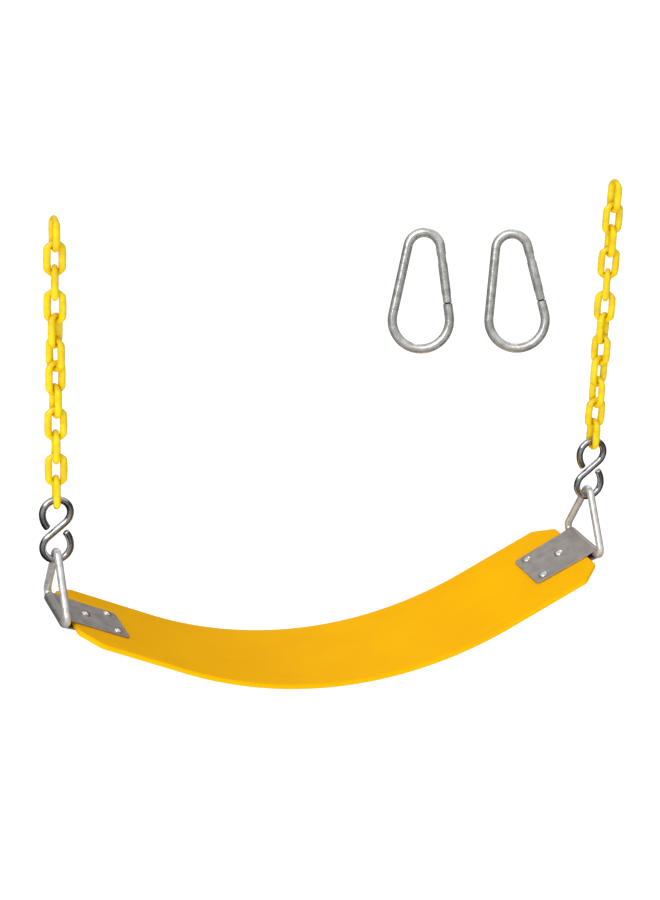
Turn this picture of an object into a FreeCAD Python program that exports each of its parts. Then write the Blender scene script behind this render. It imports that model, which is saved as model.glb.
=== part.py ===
"""Belt swing seat on two coated chains, with two loose snap hooks.

Millimetres. The origin is midway between the two hanging points, where a hanger bears
inside the top link of each chain. +X runs along the seat from its left chain to its
right chain, +Y points to the back and +Z up. The seat hangs below the origin.
"""
import FreeCAD, Part
import os
from math import asin, atan2, cos, degrees, hypot, radians, sin, sqrt, tan

V = FreeCAD.Vector

# ---- Driving dimensions -------------------------------------------------------------
GAP = 0.3                  # running gap between loose pieces that bear on each other

HALF_SPAN = 298.0          # mid-plane of the swing to each chain

LINK_COUNT = 12            # links in each chain
LINK_OPENING = 24.4        # length of the opening in a link
LINK_LEG_GAUGE = 7.4       # leg of a link, wire and coating
LINK_BOW_GAUGE = 5.8       # bow of a link, where the coating is squeezed thin
LINK_LEG_SPACING = 15.2    # leg centre to leg centre
LINK_TAPER = 3.0           # length over which the coating thins towards a bow
PITCH = LINK_OPENING - GAP
EXTRA_TWIST = 90.0         # each chain carries a quarter turn too many
BASE_TURN = {"left": -8.0, "right": 0.0}   # turn of the whole chain at its bottom link
TWIST_START = {"left": 4, "right": 2}      # link where the extra turn begins
TWIST_LINKS = {"left": 7, "right": 9}      # number of links it is spread over

S_WIRE = 7.1               # wire of the S-hooks
S_LOBE_RADIUS = 14.3       # lobe of an S-hook, to the middle of the wire
S_LOBE_OFFSET = 18.2       # centre of the S-hook to the centre of each lobe
S_ARM_RADIUS = 24.0        # bend of the free arm, between the lobe and its cut end
S_ARM_DROP = 15.2          # height of the free arm

DEE_WIRE = 8.0             # wire of the dees
DEE_HEIGHT = 63.6          # middle of the base bar to the middle of the top bend
DEE_WIDTH = 85.0           # outside width of the base
DEE_TOP_RADIUS = 8.0       # bends, to the middle of the wire
DEE_CORNER_RADIUS = 6.4

BELT_WIDTH = 134.0
BELT_THICKNESS = 5.5
BELT_RADIUS = 425.0        # top face of the hanging curve
END_SLOPE = 25.2           # slope of the straight ends, in degrees
BELT_END_INSET = 10.5      # base bar to the end edge of the belt
CHAMFER_ALONG = 22.0       # corners cut off the belt
CHAMFER_ACROSS = 19.0
BELT_EDGE_ROUND = 1.6

SHEET = 1.6                # plate of the brackets
EYE_CLEARANCE = 0.075      # base bar inside the folded eye, on the radius
PLATE_LENGTH = 74.0        # base bar to the inner edge of the plate
PLATE_EYE_WIDTH = 63.0
EYE_TAPER = 13.0           # length over which the plates close from the eye onto the belt
PLATE_CLEARANCE = 0.1      # plate to belt
PLATE_INNER_WIDTH = 59.0
PLATE_CORNER = 3.0

RIVET_SHANK = 4.8
RIVET_HEAD = 10.0
RIVET_TAIL = 8.6
RIVET_HEAD_HEIGHT = 2.6
RIVET_TAIL_HEIGHT = 1.5
RIVET_RIM = 0.25           # part of a head's height that is straight rim
RIVET_HOLE = 5.0
RIVET_PLACES = ((31.0, 0.0), (62.0, 20.5), (62.0, -20.5))    # from the base bar, sideways

HOOK_WIRE = 9.5            # round bar of a snap hook
HOOK_HEIGHT = 128.0        # outside
HOOK_TOP_RADIUS = 16.8     # top bend, to the middle of the bar
HOOK_BOTTOM_RADIUS = 29.2
HINGE_DROP = 11.0          # start of the straight leg to the hinge pin
SEAM_DROP = 57.2           # start of the straight leg to the end of the gate
SEAM_GAP = 1.0
TONGUE = 3.8               # flattened end that carries the hinge pin
TONGUE_RADIUS = 3.6
TONGUE_FLAT = 3.0          # hinge pin to the flat that the plunger presses on
GATE_EAR_RADIUS = 4.6
FORK_SLOT = 4.4
FORK_DEPTH = 5.4           # hinge pin to the bottom of the fork slot
HINGE_PIN = 2.4
HINGE_PIN_CLEARANCE = 0.08
NOSE = 3.4                 # flattened nose that the latch pin drops into
NOSE_HEIGHT = 7.3
NOSE_HALF_WIDTH = 3.3
NOSE_SLOT = 4.0
NOSE_SLOT_DEPTH = 9.2
LATCH_PIN = 2.4
LATCH_PIN_HEIGHT = 4.0     # end of the gate to the latch pin
LATCH_NOTCH = 3.6
PLUNGER = 3.8
PLUNGER_LENGTH = 6.0
SPRING_BORE = 4.4
SPRING_WIRE = 0.6
SPRING_PITCH = 1.5
SPRING_LENGTH = 10.0

HOOK_FACING = 25.5         # the loose hooks face the front left corner, in degrees
HOOK_LEAN = 17.5           # and lean back, in degrees
HOOK_PLACES = {            # centre of each hook, and its tilt to the left in its own plane
    "left": (V(85.7, 0.0, -98.6), 1.0),
    "right": (V(190.9, 0.0, -107.2), 8.0),
}

# ---- Derived places -----------------------------------------------------------------
BOW_R = LINK_BOW_GAUGE / 2
S_WIRE_R = S_WIRE / 2
DEE_WIRE_R = DEE_WIRE / 2
TOP_LINK_Z = -LINK_OPENING / 2
BOTTOM_LINK_Z = TOP_LINK_Z - PITCH * (LINK_COUNT - 1)
S_HEIGHT = 2 * (S_LOBE_OFFSET + S_LOBE_RADIUS)
S_TOP_Z = BOTTOM_LINK_Z - LINK_OPENING / 2 + S_WIRE_R + GAP
S_BOTTOM_Z = S_TOP_Z - S_HEIGHT
S_CENTRE_Z = (S_TOP_Z + S_BOTTOM_Z) / 2
BAR_Z = S_BOTTOM_Z + S_WIRE_R + DEE_WIRE_R + GAP - DEE_HEIGHT
EYE_R = DEE_WIRE_R + EYE_CLEARANCE
GRIP = BELT_THICKNESS / 2 + PLATE_CLEARANCE + SHEET    # middle of the belt to a rivet's head


def export(node, shape):
    """Write one named piece, after testing that it is closed and sound."""
    if not shape.isValid():
        raise ValueError(node + " is not a valid shape")
    shape.exportStep("parts/" + node + ".step")


def arc(centre, radius, start, end, u=V(1, 0, 0), w=V(0, 0, 1)):
    """Arc in the plane of u and w, from one angle to another, in degrees."""
    def point(angle):
        return centre + u * (radius * cos(radians(angle))) + w * (radius * sin(radians(angle)))
    return Part.Arc(point(start), point((start + end) / 2), point(end)).toShape()


def line(a, b):
    return Part.makeLine(a, b)


def rod(edges, radius):
    """Round bar along a smooth path."""
    path = Part.Wire(edges)
    first = path.Edges[0]
    start = first.valueAt(first.FirstParameter)
    along = first.tangentAt(first.FirstParameter)
    section = Part.Wire([Part.makeCircle(radius, start, along)])
    return path.makePipeShell([section], True, False)


def cylinder(radius, start, end):
    return Part.makeCylinder(radius, (end - start).Length, start, end - start)


def extrude(points, direction):
    return Part.Face(Part.makePolygon(list(points) + [points[0]])).extrude(direction)


def moved(shape, offset):
    result = shape.copy()
    result.translate(offset)
    return result


def mirrored(shape):
    """The same piece for the other end of the seat."""
    return shape.mirror(V(0, 0, 0), V(1, 0, 0))


# ---- Chain --------------------------------------------------------------------------
def chain_link():
    """Link in the XZ plane, centred on the origin."""
    leg_x = LINK_LEG_SPACING / 2
    leg_r = LINK_LEG_GAUGE / 2
    bow_z = LINK_OPENING / 2 + BOW_R - leg_x
    straight = bow_z - LINK_TAPER
    pieces = []
    for x in (-leg_x, leg_x):
        pieces.append(cylinder(leg_r, V(x, 0, -straight), V(x, 0, straight)))
        for up in (1, -1):
            pieces.append(Part.makeCone(leg_r, BOW_R, LINK_TAPER,
                                        V(x, 0, up * straight), V(0, 0, up)))
    for up in (1, -1):
        bow = arc(V(0, 0, up * bow_z), leg_x, 0, up * 180)
        pieces.append(rod([bow], BOW_R))
    return pieces[0].multiFuse(pieces[1:]).removeSplitter()


def link_angle(side, number):
    """Turn of a link about the chain's line: a quarter turn each, and the extra twist."""
    spread = min(max((number - TWIST_START[side]) / TWIST_LINKS[side], 0.0), 1.0)
    return 90.0 * number + BASE_TURN[side] * (1 - spread) + EXTRA_TWIST * spread


def make_chains():
    plain = chain_link()
    for side, x in (("left", -HALF_SPAN), ("right", HALF_SPAN)):
        for number in range(1, LINK_COUNT + 1):
            link = plain.copy()
            link.rotate(V(0, 0, 0), V(0, 0, 1), link_angle(side, number))
            link.translate(V(x, 0, BOTTOM_LINK_Z + PITCH * (number - 1)))
            export("chain_%s_link_%02d" % (side, number), link)


# ---- S-hooks and dees ---------------------------------------------------------------
def s_hook():
    """Closed S-hook in the XZ plane, centred on the origin."""
    diagonal = degrees(asin(S_LOBE_RADIUS / S_LOBE_OFFSET))
    arm_centre = V(S_ARM_RADIUS - S_LOBE_RADIUS, 0, S_LOBE_OFFSET)
    arm_turn = degrees(asin(S_ARM_DROP / S_ARM_RADIUS))
    reach = sqrt(S_LOBE_OFFSET ** 2 - S_LOBE_RADIUS ** 2)
    upper = V(reach * sin(radians(diagonal)), 0, reach * cos(radians(diagonal)))
    top = V(0, 0, S_LOBE_OFFSET)
    edges = [
        arc(arm_centre, S_ARM_RADIUS, 180 + arm_turn, 180),
        arc(top, S_LOBE_RADIUS, 180, -diagonal),
        line(upper, -upper),
        arc(-top, S_LOBE_RADIUS, 180 - diagonal, 360),
        arc(-arm_centre, S_ARM_RADIUS, 0, arm_turn),
    ]
    return rod(edges, S_WIRE_R)


def dee():
    """Rounded triangle in the YZ plane, the middle of its base bar at the origin."""
    y, z = V(0, 1, 0), V(0, 0, 1)
    corner = DEE_WIDTH / 2 - DEE_WIRE_R - DEE_CORNER_RADIUS
    rise = DEE_HEIGHT - DEE_TOP_RADIUS - DEE_CORNER_RADIUS
    apart = hypot(corner, rise)
    lean = degrees(atan2(corner, rise) - asin((DEE_TOP_RADIUS - DEE_CORNER_RADIUS) / apart))
    top = z * (DEE_HEIGHT - DEE_TOP_RADIUS)
    front = y * -corner + z * DEE_CORNER_RADIUS
    back = y * corner + z * DEE_CORNER_RADIUS

    def outward(side):
        return y * (side * cos(radians(lean))) + z * sin(radians(lean))
    edges = [
        line(y * -corner, y * corner),
        arc(back, DEE_CORNER_RADIUS, -90, lean, y, z),
        line(back + outward(1) * DEE_CORNER_RADIUS, top + outward(1) * DEE_TOP_RADIUS),
        arc(top, DEE_TOP_RADIUS, lean, 180 - lean, y, z),
        line(top + outward(-1) * DEE_TOP_RADIUS, front + outward(-1) * DEE_CORNER_RADIUS),
        arc(front, DEE_CORNER_RADIUS, 180 - lean, 270, y, z),
    ]
    return rod(edges, DEE_WIRE_R)


def make_rings():
    hook, ring = s_hook(), dee()
    for side, x in (("left", -HALF_SPAN), ("right", HALF_SPAN)):
        export("s_hook_" + side, moved(hook, V(x, 0, S_CENTRE_Z)))
        export("dee_" + side, moved(ring, V(x, 0, BAR_Z)))


# ---- Seat ---------------------------------------------------------------------------
def end_point(inward, sideways, above):
    """Point on the right end of the seat, measured from the base bar of the dee."""
    slope = radians(END_SLOPE)
    x = HALF_SPAN - inward * cos(slope) - above * sin(slope)
    z = BAR_Z - inward * sin(slope) + above * cos(slope)
    return V(x, sideways, z)


def belt():
    half = BELT_THICKNESS / 2
    centre = tangent_centre(half)
    turn = 90 - END_SLOPE
    outer = BELT_RADIUS + BELT_THICKNESS
    end_top = end_point(BELT_END_INSET, 0, half)
    end_bottom = end_point(BELT_END_INSET, 0, -half)
    top = arc(centre, BELT_RADIUS, -turn, turn - 180)
    bottom = arc(centre, outer, turn - 180, -turn)

    def left(point):
        return V(-point.x, point.y, point.z)
    edges = [
        line(end_top, top.Vertexes[0].Point),
        top,
        line(top.Vertexes[-1].Point, left(end_top)),
        line(left(end_top), left(end_bottom)),
        line(left(end_bottom), bottom.Vertexes[0].Point),
        bottom,
        line(bottom.Vertexes[-1].Point, end_bottom),
        line(end_bottom, end_top),
    ]
    strip = Part.Face(Part.Wire(edges)).extrude(V(0, BELT_WIDTH, 0))
    strip.translate(V(0, -BELT_WIDTH / 2, 0))
    deep = BELT_THICKNESS * 3
    margin = BELT_THICKNESS
    for side in (1, -1):
        edge = side * BELT_WIDTH / 2
        past = edge + side * margin
        corner = extrude([
            end_point(BELT_END_INSET, edge - side * CHAMFER_ACROSS, -deep),
            end_point(BELT_END_INSET - margin, edge - side * CHAMFER_ACROSS, -deep),
            end_point(BELT_END_INSET - margin, past, -deep),
            end_point(BELT_END_INSET + CHAMFER_ALONG, past, -deep),
            end_point(BELT_END_INSET + CHAMFER_ALONG, edge, -deep),
        ], end_point(0, 0, deep) - end_point(0, 0, -deep))
        strip = strip.cut(corner).cut(mirrored(corner))
    for inward, sideways in RIVET_PLACES:
        hole = cylinder(RIVET_HOLE / 2, end_point(inward, sideways, -deep),
                        end_point(inward, sideways, deep))
        strip = strip.cut(hole).cut(mirrored(hole))
    return strip


def tangent_centre(half):
    """Centre of the hanging curve, so that it runs on smoothly from the straight ends."""
    slope = radians(END_SLOPE)
    foot = end_point(0, 0, half)
    run = foot.x - BELT_RADIUS * sin(slope)
    return V(0, 0, foot.z - run * tan(slope) + BELT_RADIUS * cos(slope))


def rounded_belt():
    """The belt with its long edges and its corners eased."""
    strip = belt()
    rims = []
    for edge in strip.Edges:
        middle = edge.valueAt((edge.FirstParameter + edge.LastParameter) / 2)
        if abs(abs(middle.y) - BELT_WIDTH / 2) < 0.01 and edge.Length > BELT_THICKNESS * 2:
            rims.append(edge)
    return strip.makeFillet(BELT_EDGE_ROUND, rims)


def bracket():
    """Plate folded round the base bar of the dee, for the right end."""
    outer = EYE_R + SHEET

    def hairpin(radius, flat, length):
        far = radians(END_SLOPE)
        nose = end_point(0, 0, 0) + V(radius * cos(far), 0, radius * sin(far))
        bend = Part.Arc(end_point(0, 0, -radius), nose, end_point(0, 0, radius)).toShape()
        corners = [(0, radius), (EYE_TAPER, flat), (length, flat), (length, -flat),
                   (EYE_TAPER, -flat), (0, -radius)]
        places = [end_point(inward, 0, above) for inward, above in corners]
        edges = [bend] + [line(a, b) for a, b in zip(places, places[1:])]
        solid = Part.Face(Part.Wire(edges)).extrude(V(0, PLATE_EYE_WIDTH, 0))
        return moved(solid, V(0, -PLATE_EYE_WIDTH / 2, 0))
    plate = hairpin(outer, GRIP, PLATE_LENGTH)
    plate = plate.cut(hairpin(EYE_R, GRIP - SHEET, PLATE_LENGTH + SHEET))
    through = end_point(0, 0, outer * 2) - end_point(0, 0, -outer * 2)
    for side in (1, -1):
        eye_edge = side * PLATE_EYE_WIDTH / 2
        inner_edge = side * PLATE_INNER_WIDTH / 2
        corner = inner_edge - side * PLATE_CORNER
        trim = extrude([
            end_point(outer, eye_edge, -outer * 2),
            end_point(PLATE_LENGTH - PLATE_CORNER, inner_edge, -outer * 2),
            end_point(PLATE_LENGTH + 1, corner - side, -outer * 2),
            end_point(PLATE_LENGTH + 1, eye_edge + side, -outer * 2),
            end_point(outer, eye_edge + side, -outer * 2),
        ], through)
        plate = plate.cut(trim)
    for inward, sideways in RIVET_PLACES:
        plate = plate.cut(cylinder(RIVET_HOLE / 2, end_point(inward, sideways, -outer * 2),
                                   end_point(inward, sideways, outer * 2)))
    return plate


def cap(radius, height, up):
    """Outline of a rivet's head, from the middle of its crown to its rim and the plate."""
    rim = height * RIVET_RIM
    ball = (radius ** 2 + (height - rim) ** 2) / (2 * (height - rim))
    half_turn = asin(radius / ball) / 2

    def point(r, z):
        return V(r, 0, up * (GRIP + z))
    crown = point(0, height)
    shoulder = point(ball * sin(half_turn), height - ball + ball * cos(half_turn))
    return [
        Part.Arc(crown, shoulder, point(radius, rim)).toShape(),
        line(point(radius, rim), point(radius, 0)),
        line(point(radius, 0), point(RIVET_SHANK / 2, 0)),
    ]


def rivets():
    """Three rivets through plate, belt and plate, for the right end."""
    shank = RIVET_SHANK / 2
    edges = cap(RIVET_HEAD / 2, RIVET_HEAD_HEIGHT, 1)
    edges += [line(V(shank, 0, GRIP), V(shank, 0, -GRIP))]
    edges += reversed(cap(RIVET_TAIL / 2, RIVET_TAIL_HEIGHT, -1))
    edges += [line(V(0, 0, -GRIP - RIVET_TAIL_HEIGHT), V(0, 0, GRIP + RIVET_HEAD_HEIGHT))]
    outline = Part.Face(Part.Wire(edges))
    rivet = outline.revolve(V(0, 0, 0), V(0, 0, 1), 360)
    rivet.rotate(V(0, 0, 0), V(0, 1, 0), -END_SLOPE)
    return Part.makeCompound([moved(rivet, end_point(inward, sideways, 0))
                              for inward, sideways in RIVET_PLACES])


def make_seat():
    export("belt_seat", rounded_belt())
    plate, group = bracket(), rivets()
    for side, place in (("right", lambda shape: shape), ("left", mirrored)):
        export("bracket_" + side, place(plate))
        export("rivets_" + side, place(group))


# ---- Snap hooks ---------------------------------------------------------------------
# Each is drawn in the XZ plane, centred on the origin, its gate on the right leg.
BAR_R = HOOK_WIRE / 2
TOP_CENTRE_Z = HOOK_HEIGHT / 2 - BAR_R - HOOK_TOP_RADIUS
BOTTOM_CENTRE_Z = -HOOK_HEIGHT / 2 + BAR_R + HOOK_BOTTOM_RADIUS
SPREAD = asin((HOOK_BOTTOM_RADIUS - HOOK_TOP_RADIUS) / (TOP_CENTRE_Z - BOTTOM_CENTRE_Z))
LEG_OUT = V(cos(SPREAD), 0, sin(SPREAD))       # square to the right leg, outwards
LEG_DOWN = V(sin(SPREAD), 0, -cos(SPREAD))     # down the right leg
LEG_TOP = V(0, 0, TOP_CENTRE_Z) + LEG_OUT * HOOK_TOP_RADIUS
LEG_LENGTH = (TOP_CENTRE_Z - BOTTOM_CENTRE_Z) * cos(SPREAD)
HINGE = LEG_TOP + LEG_DOWN * HINGE_DROP
SEAM = LEG_TOP + LEG_DOWN * SEAM_DROP
ACROSS = V(0, 1, 0)


def leg_point(down, out):
    """Point in the plane of a snap hook, measured along its right leg from the hinge pin."""
    return HINGE + LEG_DOWN * down + LEG_OUT * out


def slab(corners, thickness):
    """Flat block in the plane of the leg, centred on it."""
    points = [leg_point(down, out) - ACROSS * (thickness / 2) for down, out in corners]
    return extrude(points, ACROSS * thickness)


def cross_pin(down, out, radius, length):
    middle = leg_point(down, out)
    return cylinder(radius, middle - ACROSS * (length / 2), middle + ACROSS * (length / 2))


def snap_body():
    spread = degrees(SPREAD)
    left_top = V(-LEG_TOP.x, 0, LEG_TOP.z)
    foot = LEG_TOP + LEG_DOWN * LEG_LENGTH
    left_foot = V(-foot.x, 0, foot.z)
    stub = leg_point(-1, 0)
    nose_base = SEAM + LEG_DOWN * SEAM_GAP
    bar = rod([
        line(stub, LEG_TOP),
        arc(V(0, 0, TOP_CENTRE_Z), HOOK_TOP_RADIUS, spread, 180 - spread),
        line(left_top, left_foot),
        arc(V(0, 0, BOTTOM_CENTRE_Z), HOOK_BOTTOM_RADIUS, 180 - spread, 360 + spread),
        line(foot, nose_base),
    ], BAR_R)
    bar = bar.cut(cross_pin(0, 0, GATE_EAR_RADIUS + GAP, HOOK_WIRE + 2))
    neck = slab([(-GATE_EAR_RADIUS - 2, -TONGUE_RADIUS), (-GATE_EAR_RADIUS - 2, TONGUE_RADIUS),
                 (0, TONGUE_RADIUS), (0, -TONGUE_RADIUS)], TONGUE)
    tongue = neck.fuse(cross_pin(0, 0, TONGUE_RADIUS, TONGUE))
    reach = TONGUE_RADIUS + 1
    tongue = tongue.cut(slab([(TONGUE_FLAT, -reach), (TONGUE_FLAT, reach),
                              (reach, reach), (reach, -reach)], TONGUE + 1))
    base = SEAM_DROP - HINGE_DROP + SEAM_GAP
    half = NOSE_HALF_WIDTH
    nose = slab([(base + 1, -half), (base + 1, half), (base - NOSE_HEIGHT, half),
                 (base - NOSE_HEIGHT, -half)], NOSE)
    pin_down = SEAM_DROP - HINGE_DROP - LATCH_PIN_HEIGHT
    notch_r = LATCH_NOTCH / 2
    notch = slab([(pin_down - notch_r, -half - 1), (pin_down + notch_r, -half - 1),
                  (pin_down + notch_r, 0), (pin_down - notch_r, 0)], NOSE + 1)
    nose = nose.cut(notch).cut(cross_pin(pin_down, 0, notch_r, NOSE + 1))
    whole = bar.multiFuse([tongue, nose])
    return whole.cut(cross_pin(0, 0, HINGE_PIN / 2 + HINGE_PIN_CLEARANCE, HOOK_WIRE + 2))


def snap_gate():
    length = SEAM_DROP - HINGE_DROP
    bar = cylinder(BAR_R, HINGE, SEAM)
    ears = cylinder(BAR_R, leg_point(-BAR_R - 1, 0), leg_point(1, 0))
    gate = bar.fuse(ears.common(cross_pin(0, 0, GATE_EAR_RADIUS, HOOK_WIRE + 2)))
    reach = HOOK_WIRE
    gate = gate.cut(slab([(-reach, -reach), (-reach, reach), (FORK_DEPTH, reach),
                          (FORK_DEPTH, -reach)], FORK_SLOT))
    gate = gate.cut(slab([(length - NOSE_SLOT_DEPTH, -reach), (length - NOSE_SLOT_DEPTH, reach),
                          (length + 1, reach), (length + 1, -reach)], NOSE_SLOT))
    bore_end = TONGUE_FLAT + GAP + PLUNGER_LENGTH + 1 + SPRING_LENGTH
    gate = gate.cut(cylinder(SPRING_BORE / 2, leg_point(0, 0), leg_point(bore_end, 0)))
    gate = gate.cut(cross_pin(0, 0, HINGE_PIN / 2, HOOK_WIRE + 2))
    return gate.cut(cross_pin(length - LATCH_PIN_HEIGHT, 0, LATCH_PIN / 2, HOOK_WIRE + 2))


def snap_spring():
    start = TONGUE_FLAT + GAP + PLUNGER_LENGTH + 1
    radius = SPRING_BORE / 2 - SPRING_WIRE / 2 - 0.15
    travel = SPRING_LENGTH - SPRING_WIRE - 0.2
    helix = Part.makeHelix(SPRING_PITCH, travel, radius)
    section = Part.Wire([Part.makeCircle(SPRING_WIRE / 2, V(radius, 0, 0), V(0, 1, 0))])
    coil = Part.Wire(helix.Edges).makePipeShell([section], True, True)
    coil.rotate(V(0, 0, 0), V(0, 1, 0), 180 - degrees(SPREAD))
    coil.translate(leg_point(start + SPRING_WIRE / 2 + 0.1, 0))
    return coil


def snap_plunger():
    start = TONGUE_FLAT + GAP
    return cylinder(PLUNGER / 2, leg_point(start, 0), leg_point(start + PLUNGER_LENGTH, 0))


def make_snap_hooks():
    latch_down = SEAM_DROP - HINGE_DROP - LATCH_PIN_HEIGHT
    pieces = {
        "body": snap_body(),
        "gate": snap_gate(),
        "hinge_pin": cross_pin(0, 0, HINGE_PIN / 2, HOOK_WIRE - 0.6),
        "latch_pin": cross_pin(latch_down, 0, LATCH_PIN / 2, HOOK_WIRE - 0.6),
        "plunger": snap_plunger(),
        "spring": snap_spring(),
    }
    for side, (centre, tilt) in HOOK_PLACES.items():
        for name, shape in pieces.items():
            piece = shape.copy()
            piece.rotate(V(0, 0, 0), V(0, 1, 0), -tilt)
            piece.rotate(V(0, 0, 0), V(1, 0, 0), -HOOK_LEAN)
            piece.rotate(V(0, 0, 0), V(0, 0, 1), -HOOK_FACING)
            piece.translate(centre)
            export("snap_%s_%s" % (side, name), piece)


os.makedirs("parts", exist_ok=True)
make_chains()
make_rings()
make_seat()
make_snap_hooks()
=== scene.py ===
"""Looks of a belt swing seat on two coated chains, with two loose snap hooks.

Metres, in the frame of the CAD part: +X along the seat to its right chain, +Y to the back
and +Z up. The rounded and worn pieces stand for the CAD nodes that they name, and the
snap hooks are the CAD nodes themselves with a finish.
"""
from math import asin, atan2, cos, degrees, hypot, pi, radians, sin, sqrt, tan

import bmesh
import bpy
from mathutils import Matrix, Vector


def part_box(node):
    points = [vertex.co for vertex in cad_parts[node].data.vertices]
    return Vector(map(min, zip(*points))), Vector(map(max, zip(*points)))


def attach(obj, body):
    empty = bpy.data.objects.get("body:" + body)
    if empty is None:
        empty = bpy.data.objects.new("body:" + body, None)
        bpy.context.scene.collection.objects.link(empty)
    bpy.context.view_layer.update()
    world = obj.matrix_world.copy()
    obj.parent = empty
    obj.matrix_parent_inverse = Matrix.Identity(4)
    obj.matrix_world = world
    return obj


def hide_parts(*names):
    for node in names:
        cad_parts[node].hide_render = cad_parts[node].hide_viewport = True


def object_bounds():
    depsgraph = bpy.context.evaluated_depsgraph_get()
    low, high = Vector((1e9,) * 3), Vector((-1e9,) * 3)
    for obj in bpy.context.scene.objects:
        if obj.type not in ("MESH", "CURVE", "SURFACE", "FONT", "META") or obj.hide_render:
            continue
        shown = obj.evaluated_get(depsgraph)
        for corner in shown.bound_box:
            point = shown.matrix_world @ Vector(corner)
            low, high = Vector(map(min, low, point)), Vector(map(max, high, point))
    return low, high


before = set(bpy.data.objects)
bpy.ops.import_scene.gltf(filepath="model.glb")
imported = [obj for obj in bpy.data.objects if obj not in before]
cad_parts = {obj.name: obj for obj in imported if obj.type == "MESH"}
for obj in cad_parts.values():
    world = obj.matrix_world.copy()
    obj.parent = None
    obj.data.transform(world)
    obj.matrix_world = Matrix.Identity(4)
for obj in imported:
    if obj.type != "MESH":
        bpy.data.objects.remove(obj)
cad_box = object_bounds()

MM = 0.001
SIDES = ("left", "right")

# ---- Sizes --------------------------------------------------------------------------
LINK_COUNT = 12
LINK_OPENING = 24.4 * MM
LINK_LEG_SPACING = 15.2 * MM
LINK_LEG_GAUGE = 7.4 * MM           # over the coating
LINK_BOW_GAUGE = 5.8 * MM
BOW_WEAR = 0.2 * MM                 # off the gauge of a bow, and added to the opening
LEG_SPREAD = 3.2                    # how soon a leg reaches its full length
TAPER = (0.32, 0.86)                # where the coating thins, from 0 mid-leg to 1 at a bow
BEARING = (0.70, 1.0)               # where the links rub and the coating gets wear and painted shade, on the same scale
BASE_TURN = {"left": -8.0, "right": 0.0}
EXTRA_TWIST = 90.0
TWIST_START = {"left": 4, "right": 2}
TWIST_LINKS = {"left": 7, "right": 9}
COATING_LUMPS = 0.45 * MM
LUMP_SCALE = 170.0
LUMP_LEVEL = 0.58                   # noise that leaves the coating at its gauge
LINK_STEPS = 112                    # points once round a link
BAR_SIDES = 24                      # sides of the section of a link or a wire

S_LOBE_RADIUS = 14.3 * MM
S_LOBE_OFFSET = 18.2 * MM
S_ARM_RADIUS = 24.0 * MM
S_ARM_DROP = 15.2 * MM
DEE_TOP_RADIUS = 8.0 * MM
DEE_CORNER_RADIUS = 6.4 * MM
CUT_END_ROUND = 0.9 * MM
WIRE_DENTS = 0.06 * MM
DENT_SCALE = 300.0
DENT_LEVEL = 0.62                   # noise that leaves the wire at its gauge
WIRE_STEP = 0.7 * MM

BELT_RADIUS = 427.75 * MM           # middle of the belt's thickness
END_SLOPE = radians(25.2)
BELT_HALF_WIDTH = 67.0 * MM
BELT_HALF_THICKNESS = 2.75 * MM
BELT_END_INSET = 10.5 * MM
CHAMFER_ALONG = 22.0 * MM
CHAMFER_ACROSS = 19.0 * MM
CORNER_EASE = 4.0 * MM
BELT_RIM = 1.7 * MM
BELT_STEP = 2.2 * MM

SHEET = 1.6 * MM
EYE_CLEARANCE = 0.075 * MM          # base bar to the folded eye
PLATE_LENGTH = 74.0 * MM
PLATE_EYE_WIDTH = 63.0 * MM
EYE_TAPER = 13.0 * MM
PLATE_INNER_WIDTH = 59.0 * MM
PLATE_CLEARANCE = 0.1 * MM
PLATE_CORNER = 3.0 * MM
PLATE_RIM = 0.35 * MM
PLATE_EASE = 1.5 * MM               # half the length of the bend where the taper ends
PLATE_STEP = 1.0 * MM
NORMAL_PASSES = 3                   # rounds of smoothing along the fold

# Each rivet's distance in from the base bar, and sideways.
RIVET_PLACES = ((31.0 * MM, 0.0), (62.0 * MM, 20.5 * MM), (62.0 * MM, -20.5 * MM))
RIVET_HEAD = (10.0 * MM, 2.6 * MM)  # width and height
RIVET_TAIL = (8.6 * MM, 1.5 * MM)

LATCH_PIN_HEIGHT = 4.0 * MM         # latch pin to the end of the gate
SEAM_GAP = 1.0 * MM
SEAM_REACH = 7.0 * MM

SAME_PLACE = 0.01 * MM              # points nearer than this are one point
WELD = 0.002 * MM                   # doubles that are merged in a finished piece
CREASE = radians(50)                # sharper edges stay sharp

# ---- Places read from the CAD -------------------------------------------------------
dee_low, dee_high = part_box("dee_right")
HALF_SPAN = (dee_low.x + dee_high.x) / 2
DEE_WIRE = dee_high.x - dee_low.x
BAR_Z = dee_low.z + DEE_WIRE / 2
DEE_HEIGHT = dee_high.z - dee_low.z - DEE_WIRE
DEE_HALF_WIDTH = (dee_high.y - dee_low.y) / 2
EYE_RADIUS = DEE_WIRE / 2 + EYE_CLEARANCE
GRIP = BELT_HALF_THICKNESS + PLATE_CLEARANCE + SHEET      # middle of the belt to a rivet head
hook_low, hook_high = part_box("s_hook_right")
S_WIRE = hook_high.y - hook_low.y


def middle(node):
    """Middle of a CAD node's box."""
    low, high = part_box(node)
    return (low + high) / 2


# ---- Node trees ---------------------------------------------------------------------
class Socket:
    """Output of a node. Arithmetic on it adds Math nodes to its tree."""

    def __init__(self, graph, socket):
        self.graph, self.socket = graph, socket

    def math(self, operation, *values):
        return self.graph.node("ShaderNodeMath", {"operation": operation}, values)

    def output(self, name):
        return Socket(self.graph, self.socket.node.outputs[name])

    def __add__(self, other):
        return self.math("ADD", self, other)

    def __sub__(self, other):
        return self.math("SUBTRACT", self, other)

    def __rsub__(self, other):
        return self.math("SUBTRACT", other, self)

    def __mul__(self, other):
        return self.math("MULTIPLY", self, other)

    def __truediv__(self, other):
        return self.math("DIVIDE", self, other)

    def __pow__(self, other):
        return self.math("POWER", self, other)

    def __abs__(self):
        return self.math("ABSOLUTE", self)

    __radd__ = __add__
    __rmul__ = __mul__


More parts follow.
